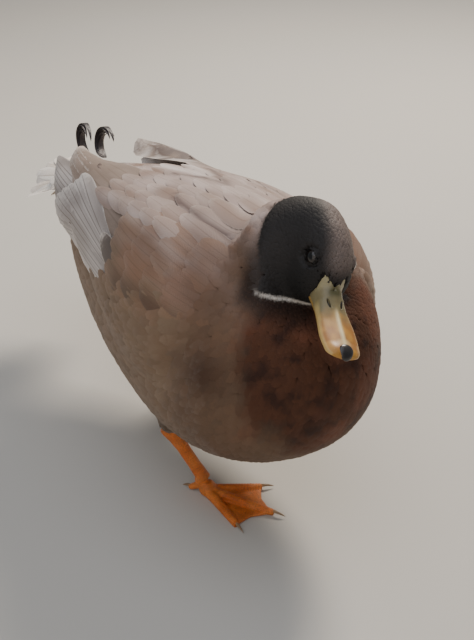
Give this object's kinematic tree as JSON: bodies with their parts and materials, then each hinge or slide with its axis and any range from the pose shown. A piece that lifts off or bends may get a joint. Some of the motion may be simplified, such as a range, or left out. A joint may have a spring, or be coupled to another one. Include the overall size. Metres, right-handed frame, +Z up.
{
  "type": "duck",
  "caption": "Life-size standing drake duck with a lowered, turned dark head, pale collar ring, brown breast, folded wings, curled tail feathers and orange webbed feet.",
  "frame": {"origin": "middle of the footprint of the bounding box, on the floor the duck stands on", "axes": "-Y is the way the duck faces, +Z is up, -X is the duck's right side"},
  "size_m": [0.153, 0.4056, 0.2244],
  "materials": {
    "head_feathers": "short dark feathers with a faint green gloss, matt",
    "breast_feathers": "mottled purple-brown feathers, matt",
    "flank_feathers": "grey-brown feathers with fine marks, matt",
    "rump_feathers": "dark grey-brown feathers, matt",
    "wing_feathers": "brown and taupe feathers with pale edges, matt",
    "tertial_feathers": "broad beige-grey feathers, matt",
    "quill_feathers": "silver-grey flight feathers with pale edges, satin",
    "tail_feathers": "cream tail feathers with grey-brown centres, matt",
    "curl_feathers": "near-black curled feathers, satin",
    "bill_horn": "ochre-yellow horn with a soft shine",
    "nail_horn": "near-black horn, satin",
    "eye": "dark wet eye, glossy",
    "leg_skin": "orange scaly skin, satin",
    "claw_horn": "dark brown horn, satin"
  },
  "bodies": {
    "root": {"bill_lower": "bill_horn", "bill_nail": "nail_horn", "bill_upper": "bill_horn", "claw_hind_left": "claw_horn", "claw_hind_right": "claw_horn", "claw_inner_left": "claw_horn", "claw_inner_right": "claw_horn", "claw_middle_left": "claw_horn", "claw_middle_right": "claw_horn", "claw_outer_left": "claw_horn", "claw_outer_right": "claw_horn", "eye_left": "eye", "eye_right": "eye", "foot_left": "leg_skin", "foot_right": "leg_skin", "head": "head_feathers", "neck": "breast_feathers", "primaries_left": "quill_feathers", "primaries_right": "quill_feathers", "shank_left": "leg_skin", "shank_right": "leg_skin", "tail": "rump_feathers", "tail_curl_left": "curl_feathers", "tail_curl_right": "curl_feathers", "tail_fan": "tail_feathers", "tertials_left": "tertial_feathers", "tertials_right": "tertial_feathers", "thigh_left": "flank_feathers", "thigh_right": "flank_feathers", "trunk": "flank_feathers", "wing_left": "wing_feathers", "wing_right": "wing_feathers"}
  },
  "joints": []
}
